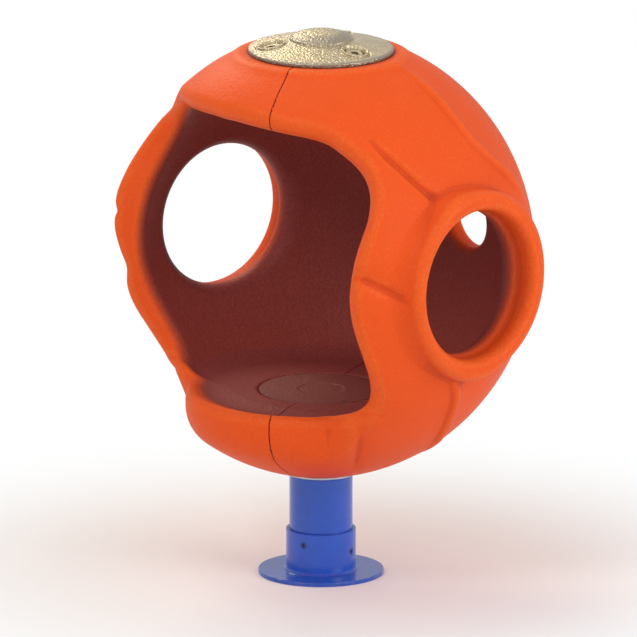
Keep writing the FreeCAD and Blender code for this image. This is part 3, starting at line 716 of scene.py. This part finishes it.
def enamel(name, base, rough=0.3, coat=0.5, dust_and_shade=True):
    """Gloss coat with shallow orange peel, dusty close to the ground, with painted shade darkening
    it just above the ground.
    """
    m = Material(name)
    mottle = m.noise(scale=22.0, detail=4.0, rough=0.6)
    colour = m.mix(m.fade(mottle, start=0.3, end=0.7), shade(base, 0.93), shade(base, 1.05))
    if dust_and_shade:
        z = m.node("SeparateXYZ", m.place).outputs["Z"]
        low = m.calc("SUBTRACT", 1.0, m.calc("MULTIPLY", z, 14.0), clamp=True)
        specks = m.fade(m.noise(scale=60.0, detail=5.0, rough=0.65), start=0.48, end=0.72)
        dust = m.calc("MULTIPLY", specks, m.calc("MULTIPLY", low, 0.16))
        # painted shade: darker within about 16 mm of the ground, where the pod's shadow falls
        above = m.calc("MULTIPLY", m.calc("SUBTRACT", z, 0.008), 120.0)
        foot_shade = m.calc("SUBTRACT", 1.0, above, clamp=True)
        colour = m.mix(m.calc("MULTIPLY", foot_shade, 0.45), colour, shade(base, 0.5))
        colour = m.mix(dust, colour, (0.30, 0.28, 0.27))
    m.set(Base_Color=colour, Coat_Weight=coat, Coat_Roughness=0.08, Specular_IOR_Level=0.45)
    m.vary_roughness(m.noise(scale=140.0, rough=0.6), spread=0.14, lowest=rough - 0.07)
    m.bump(m.noise(scale=330.0, detail=2.0, rough=0.45), distance=0.0005, strength=0.28)
    return m.material


def metal(name, base, rough, brushed=False):
    m = Material(name)
    mottle = m.noise(scale=70.0, detail=5.0, rough=0.6)
    colour = m.mix(m.fade(mottle, start=0.3, end=0.75), shade(base, 0.8), base)
    if brushed:
        # squeezed along Z, so the marks run around the axis
        squeezed = m.node("Mapping", Scale=(1.0, 1.0, 26.0), Vector=m.place).outputs["Vector"]
        grain = m.noise(scale=90.0, rough=0.6, place=squeezed)
    else:
        grain = m.noise(scale=420.0, rough=0.6)
    m.set(Base_Color=colour, Metallic=1.0)
    m.vary_roughness(grain, spread=0.22, lowest=rough - 0.1)
    m.bump(grain, distance=0.0003, strength=0.3)
    return m.material


def rubber(name):
    m = Material(name)
    fine = m.noise(scale=260.0, rough=0.6)
    m.set(Base_Color=m.mix(fine, (0.012, 0.012, 0.013), (0.04, 0.039, 0.038)))
    m.vary_roughness(fine, spread=0.2, lowest=0.6)
    m.bump(fine, distance=0.0004, strength=0.35)
    return m.material


def cast_metal(name, base, ring_shade_colour):
    """Hammered, semi-gloss casting with rings of painted shade about the axis, and painted shade
    between the lumps and in hollows.
    """
    m = Material(name)
    mottle = m.noise(scale=22.0, detail=4.0, rough=0.6)
    lump = m.voronoi(scale=150.0, smooth=0.45)
    fine = m.noise(scale=260.0, detail=4.0, rough=0.6)
    colour = m.mix(m.fade(mottle, start=0.35, end=0.65), shade(base, 0.88), shade(base, 1.08))
    flat = m.vector("MULTIPLY", m.place, (1, 1, 0)).outputs[0]
    radius = m.vector("LENGTH", flat).outputs["Value"]
    waver = m.calc("MULTIPLY", m.calc("SUBTRACT", fine, 0.5), 0.012)
    # painted shade: greyer rings over the dome's edge and the rim; stops are in units of 0.2 m
    # from the axis
    painted_light_share = m.ramp(m.calc("MULTIPLY", m.calc("ADD", radius, waver), 5.0),
                  (0.20, 0.0), (0.27, 0.85), (0.37, 0.85), (0.40, 0.0), (0.83, 0.0), (0.86, 0.9))
    colour = m.mix(painted_light_share, colour, ring_shade_colour)
    # painted shade: darker in the low gaps between the hammered lumps
    colour = m.mix(m.fade(lump, start=0.35, end=0.9, high=0.5), colour, shade(base, 0.6))
    # painted shade: colour darkened towards a tenth of the base in hollows the occlusion node
    # finds
    open_share = m.fade(m.occlusion(distance=0.02), start=0.35, end=0.85, low=0.25)
    colour = m.mix(open_share, shade(base, 0.1), colour)
    m.set(Base_Color=colour, Metallic=0.62, Specular_IOR_Level=0.6,
          Coat_Weight=0.25, Coat_Roughness=0.2)
    m.vary_roughness(fine, spread=0.2, lowest=0.2)
    lumps = m.calc("MULTIPLY", m.calc("SUBTRACT", 1.0, lump), 0.8)
    m.bump(m.calc("ADD", lumps, m.calc("MULTIPLY", fine, 0.3)), distance=0.0034, strength=0.8)
    return m.material


ORANGE = srgb(238, 88, 32)
# painted shade: the cabin's inside is coloured darker than the orange, standing for the shade in
# it
CABIN_SHADE_COLOUR = srgb(146, 68, 64)
RECIPES = {
    "shell_orange": (plastic, dict(base=ORANGE, inner=CABIN_SHADE_COLOUR, rough=0.46, specular=0.1)),
    # the seat's colour is the cabin's painted shade, darker still
    "seat_orange": (plastic, dict(base=shade(CABIN_SHADE_COLOUR, 0.8), rough=0.5, specular=0.4)),
    "post_blue": (enamel, dict(base=srgb(22, 84, 200))),
    "bolt_dark": (enamel, dict(base=srgb(30, 56, 136), rough=0.34, coat=0.25, dust_and_shade=False)),
    "cap_grey": (cast_metal, dict(base=srgb(214, 197, 160), ring_shade_colour=srgb(162, 152, 138))),
    "zinc_plate": (metal, dict(base=(0.60, 0.62, 0.64), rough=0.4)),
    "bearing_steel": (metal, dict(base=(0.66, 0.67, 0.69), rough=0.22, brushed=True)),
    "stainless": (metal, dict(base=(0.62, 0.61, 0.60), rough=0.3)),
    "cage_brass": (metal, dict(base=(0.60, 0.44, 0.19), rough=0.34)),
    "seal_rubber": (rubber, {}),
}
MATERIALS = {name: build(name, **values) for name, (build, values) in RECIPES.items()}


def dress_cad_pieces():
    slots = {part["node"]: part["material_slot"] for part in frame["record"]["subparts"]}
    for node, ob in frame["nodes"].items():
        material = MATERIALS[slots[node]]
        if not ob.data.materials:
            ob.data.materials.append(material)
        for k in range(len(ob.data.materials)):
            ob.data.materials[k] = material


def add_object(name, data):
    ob = bpy.data.objects.new(name, data)
    bpy.context.scene.collection.objects.link(ob)
    return ob


def place_on_pod(ob, node, slot):
    """Gives the piece its material and puts it in place of a CAD piece."""
    ob.data.materials.append(MATERIALS[slot])
    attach(ob, "pod")
    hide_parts(node)


# ---------------------------------------------------------------- the pod's two moulded halves
SEAM_NORMAL = Vector((math.cos(SEAM_AZIMUTH * RAD), math.sin(SEAM_AZIMUTH * RAD), 0.0))


def pod_bmesh():
    """The whole shell in millimetres, with a V groove pressed in along the seam."""
    points, quads, normals = surface(shell, (-556.0, -556.0, 246.0), (556.0, 556.0, 1300.0),
                                     pitch=5.5)
    points = relax(points, quads, normals, share=0.4)
    bm = bmesh.new()
    mesh = bpy.data.meshes.new("tmp_shell")
    mesh.from_pydata(points.tolist(), [], quads.tolist())
    bm.from_mesh(mesh)
    bpy.data.meshes.remove(mesh)
    for offset in (-GROOVE_HALF, GROOVE_HALF, 0.0):
        bmesh.ops.bisect_plane(bm, geom=bm.verts[:] + bm.edges[:] + bm.faces[:], dist=0.02,
                               plane_co=SEAM_NORMAL * offset, plane_no=SEAM_NORMAL)
    bm.normal_update()
    across = np.array(SEAM_NORMAL)
    places = np.array([v.co for v in bm.verts])
    on_seam = np.abs(places @ across) < 0.05
    outward = gradient(shell, places[on_seam], 1.0)
    outward -= (outward @ across)[:, None] * across
    bm.verts.ensure_lookup_table()
    for i, out in zip(np.where(on_seam)[0], unit(outward)):
        bm.verts[int(i)].co = Vector(places[i] - GROOVE_DEPTH * out)
    return bm


def cabin_share(x, y, z):
    """1 on the cabin's wall, 0 outside, blending over the rounded edges. It masks the cabin's
    painted shade.
    """
    up = z - CENTRE_Z
    radius = np.hypot(x, y)
    level = (radius / (OUTER_R - WALL * 0.5)) ** 2 + (up / (OUTER_HALF - WALL * 0.5)) ** 2
    depth = (1 - np.sqrt(level)) * 485.0
    turn = np.abs(np.arctan2(x, -y)) / RAD
    front = LIP_R + lip_widening(turn) - 22 - radius
    depth = np.minimum(depth, front + 500 * smooth_step(z, 475, 640))
    share = smooth_step(depth, 8.0, 34.0)
    # the cabin's painted shade also reaches into the windows' bores
    for azimuth in WINDOW_AZIMUTHS:  # the windows' bores darken sooner
        dx, dy = heading(azimuth)
        out = x * dx + y * dy
        around = np.sqrt(np.maximum(x * x + y * y - out * out, 0) + (z - WINDOW_Z) ** 2)
        bore = (out > WINDOW_NEAR) * smooth_step(215 - around, 0, 22)
        share = np.maximum(share, bore * smooth_step(470 - out, -14, 34))
    return np.where(z < 430, 0.0, share)


def skin_bend(x, y, z):
    """How sharply the skin bends, in 1/mm: above 0 on edges, below 0 in creases."""
    reach = 7.0
    bend = -6.0 * shell(x, y, z, False)
    for axis, step in product(range(3), (-reach, reach)):
        moved = [x, y, z]
        moved[axis] = moved[axis] + step
        bend += shell(*moved, False)
    return bend / (reach * reach)


def pod_half(whole, side, name):
    """The part of the shell on one side of the seam, with its shading attributes."""
    bm = whole.copy()
    away = [f for f in bm.faces if side * f.calc_center_median().dot(SEAM_NORMAL) < 0]
    bmesh.ops.delete(bm, geom=away, context="FACES")
    loose = [v for v in bm.verts if not v.link_faces]
    bmesh.ops.delete(bm, geom=loose, context="VERTS")
    for face in bm.faces:
        face.smooth = True
    places = np.array([v.co for v in bm.verts])
    mesh = bpy.data.meshes.new(name)
    bmesh.ops.scale(bm, vec=(0.001, 0.001, 0.001), verts=bm.verts)
    bm.to_mesh(mesh)
    bm.free()
    for key, values in (("inside", cabin_share), ("bend", skin_bend)):
        attribute = mesh.attributes.new(key, "FLOAT", "POINT")
        attribute.data.foreach_set("value", values(*places.T).astype(np.float32))
    return add_object(name, mesh)


def build_pod():
    whole = pod_bmesh()
    for side, label in ((1, "right"), (-1, "left")):
        half = pod_half(whole, side, "pod_half_" + label)
        place_on_pod(half, "shell_" + label, "shell_orange")
    whole.free()


def build_cap():
    points, quads, _ = surface(cap, (-180.0, -180.0, 1280.0), (180.0, 180.0, 1352.0),
                               pitch=1.6, probe=0.3)
    mesh = bpy.data.meshes.new("cap_cover")
    mesh.from_pydata((points / 1000.0).tolist(), [], quads.tolist())
    mesh.validate()
    mesh.polygons.foreach_set("use_smooth", [True] * len(mesh.polygons))
    mesh.update()
    place_on_pod(add_object("cap_cover", mesh), "top_cap", "cap_grey")


# ---------------------------------------------------------------- floor, light, camera (metres)
def floor_material():
    """Pale matt floor that fades to pure white away from the pod, for the camera only."""
    m = Material("studio_floor")
    tint = m.noise(scale=1.3, detail=2.0)
    m.set(Base_Color=m.mix(tint, (0.87, 0.88, 0.895), (0.90, 0.91, 0.925)), Roughness=0.85)
    m.bump(m.noise(scale=60.0, detail=2.0), distance=0.0005, strength=0.1)
    distance = m.vector("LENGTH", m.place).outputs["Value"]
    far = m.node("MapRange", setup={"interpolation_type": "SMOOTHERSTEP"},
                 From_Min=0.45, From_Max=1.45, Value=distance)
    seen = m.node("LightPath").outputs["Is Camera Ray"]
    glow = m.node("Emission", Color=(1, 1, 1), Strength=1.0)
    blend = m.node("MixShader", m.calc("MULTIPLY", far.outputs[0], seen),
                   m.shader.outputs[0], glow.outputs[0])
    m.feed(m.tree.nodes["Material Output"].inputs["Surface"], blend.outputs[0])
    return m.material


def build_floor():
    bm = bmesh.new()
    bmesh.ops.create_circle(bm, cap_ends=True, radius=60.0, segments=128)
    mesh = bpy.data.meshes.new("studio_floor")
    bm.to_mesh(mesh)
    bm.free()
    floor = add_object("studio_floor", mesh)
    mesh.materials.append(floor_material())


def build_world():
    """Soft ambient light, with a pure white background for the camera."""
    world = bpy.data.worlds.new("studio")
    bpy.context.scene.world = world
    world.use_nodes = True
    graph = Graph(world.node_tree)
    graph.tree.nodes.clear()
    output = graph.node("OutputWorld")
    seen = graph.node("LightPath").outputs["Is Camera Ray"]
    ambient = graph.node("Background", Color=(1.0, 0.99, 0.985), Strength=0.60)
    backdrop = graph.node("Background", Color=(1, 1, 1), Strength=1.0)
    mix = graph.node("MixShader", seen, ambient.outputs[0], backdrop.outputs[0])
    graph.feed(output.inputs["Surface"], mix.outputs[0])


VIEW_AZIMUTH, VIEW_ELEVATION = 50.2 * RAD, 14.0 * RAD
VIEW_SIN, VIEW_COS = math.sin(VIEW_AZIMUTH), math.cos(VIEW_AZIMUTH)
RISE_SIN, RISE_COS = math.sin(VIEW_ELEVATION), math.cos(VIEW_ELEVATION)
VIEW_RIGHT = Vector((VIEW_COS, VIEW_SIN, 0))
VIEW_BACK = Vector((VIEW_SIN * RISE_COS, -VIEW_COS * RISE_COS, RISE_SIN))  # to the camera
VIEW_UP = Vector((-VIEW_SIN * RISE_SIN, VIEW_COS * RISE_SIN, RISE_COS))
CAMERA_DISTANCE = 60.0
VIEW_WIDTH = 1.5341696  # width in view at the pod
SENSOR_WIDTH = 36.0

LIGHT_TARGET = Vector((0, 0, 0.75))
# name, offset from the target (right, towards the camera, up), size, watts, colour
LIGHTS = (
    ("key", (-1.9, 2.6, 2.7), 1.3, 41, (1.0, 0.97, 0.91)),
    ("fill", (3.2, 2.0, 1.2), 2.6, 54, (0.99, 0.98, 0.98)),
    ("top", (-0.6, -0.2, 3.2), 1.6, 10, (1.0, 0.98, 0.94)),
    ("back", (-1.5, -3.4, 2.6), 1.7, 54, (1.0, 0.86, 0.62)),
)


def aim(ob, location, back):
    """Places a light or camera; back points from what it faces towards it."""
    ob.location = location
    ob.rotation_mode = "QUATERNION"
    ob.rotation_quaternion = back.to_track_quat("Z", "Y")


def build_lights():
    towards = Vector((VIEW_BACK.x, VIEW_BACK.y, 0)).normalized()
    for name, (right, near, up), size, power, colour in LIGHTS:
        light = bpy.data.lights.new(name, "AREA")
        light.shape = "DISK"
        light.size = size
        light.energy = power
        light.color = colour
        place = LIGHT_TARGET + VIEW_RIGHT * right + towards * near + Vector((0, 0, 1)) * up
        aim(add_object(name, light), place, place - LIGHT_TARGET)


def build_camera():
    data = bpy.data.cameras.new("camera")
    camera = add_object("camera", data)
    data.sensor_width = SENSOR_WIDTH
    data.lens = SENSOR_WIDTH * CAMERA_DISTANCE / VIEW_WIDTH
    data.clip_start, data.clip_end = 1.0, 200.0
    target = VIEW_RIGHT * -0.0060 + VIEW_UP * 0.6092
    aim(camera, target + VIEW_BACK * CAMERA_DISTANCE, VIEW_BACK)
    scene = bpy.context.scene
    scene.camera = camera
    scene.view_settings.view_transform = "Standard"
    scene.view_settings.look = "None"


dress_cad_pieces()
build_pod()
build_cap()
build_floor()
build_world()
build_lights()
build_camera()
